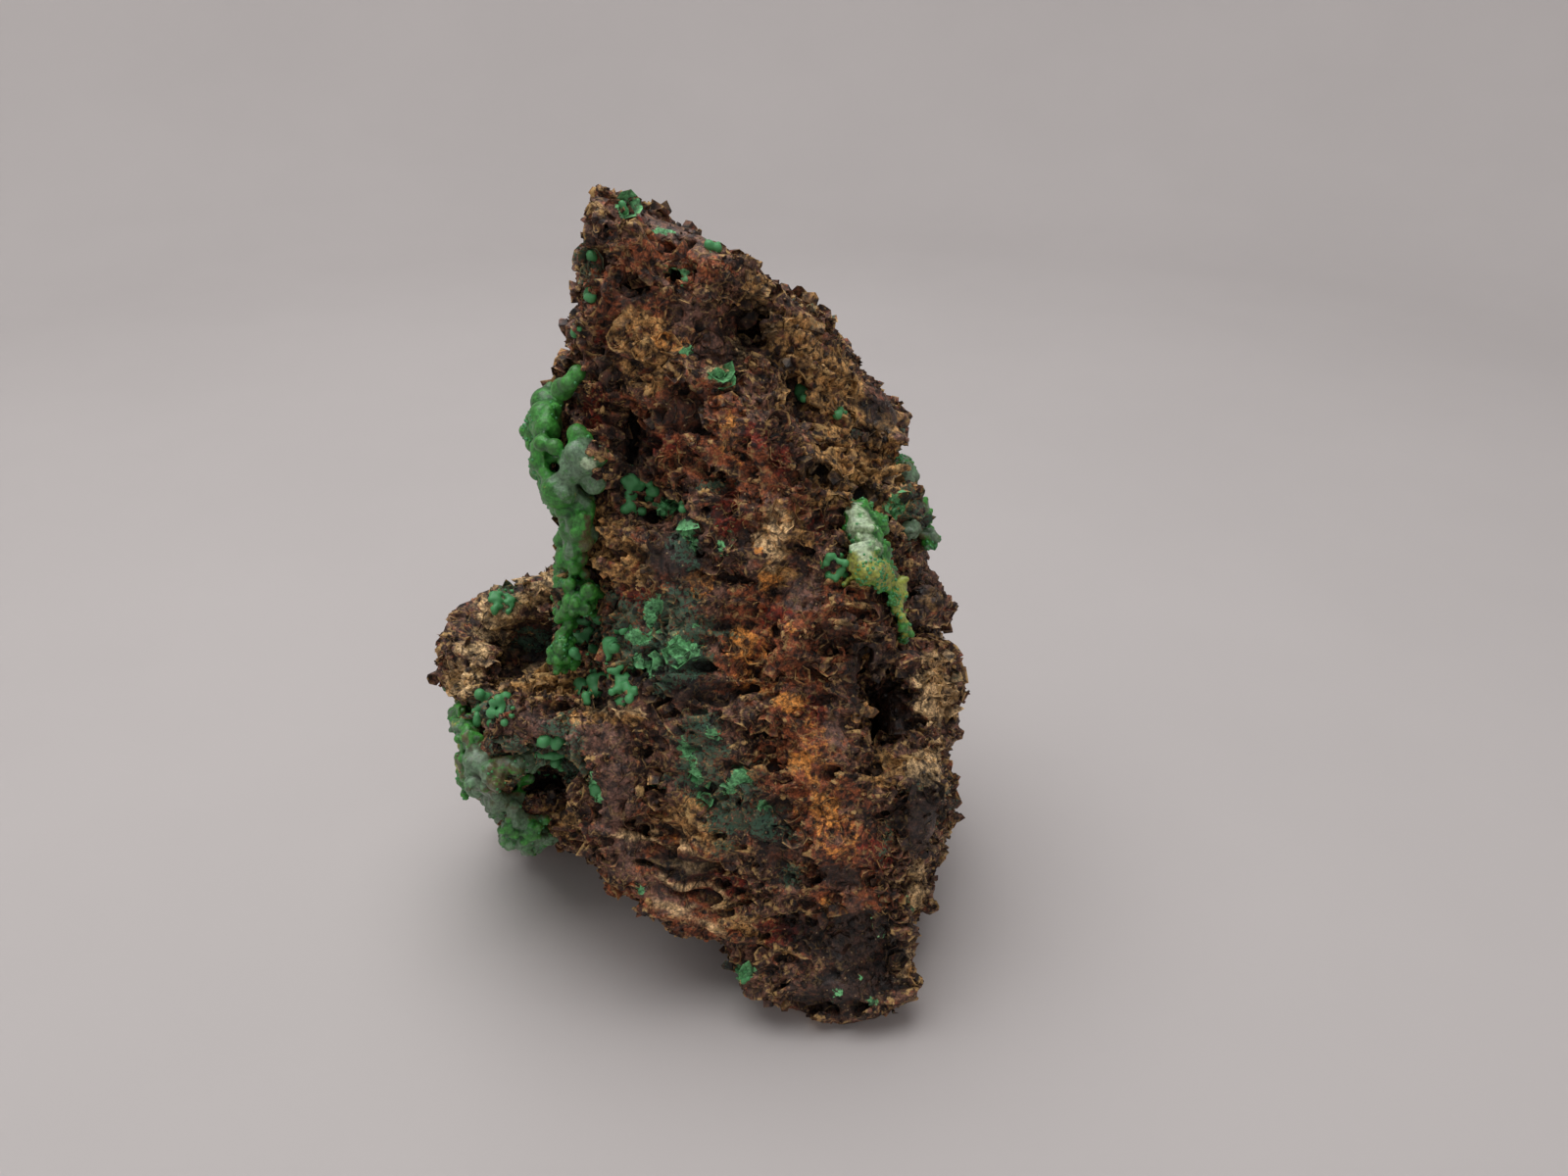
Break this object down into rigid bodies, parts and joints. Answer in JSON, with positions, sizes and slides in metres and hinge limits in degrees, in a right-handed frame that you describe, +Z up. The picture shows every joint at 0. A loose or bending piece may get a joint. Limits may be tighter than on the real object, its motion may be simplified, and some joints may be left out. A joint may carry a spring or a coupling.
{
  "type": "conichalcite specimen",
  "caption": "Natural chunk of rusty gossan rock with lumpy green conichalcite crusts on its edges; stands upright on natural feet as a display piece.",
  "frame": {"origin": "middle of the base, on the plane of the feet", "axes": "+Z up and along the longest extent; the broad broken face looks along -Y; +X to its right"},
  "size_m": [0.0454, 0.0376, 0.0622],
  "materials": {
    "gossan": "rough, crumbly, vuggy iron-oxide rock",
    "conichalcite": "botryoidal, waxy to silky",
    "pale_conichalcite": "botryoidal, pale and chalky"
  },
  "bodies": {
    "root": {"gossan_matrix": "gossan", "left_edge_crust": "conichalcite", "lower_left_crust": "conichalcite", "right_cap_crust": "pale_conichalcite", "rear_right_crust": "conichalcite"}
  },
  "joints": []
}
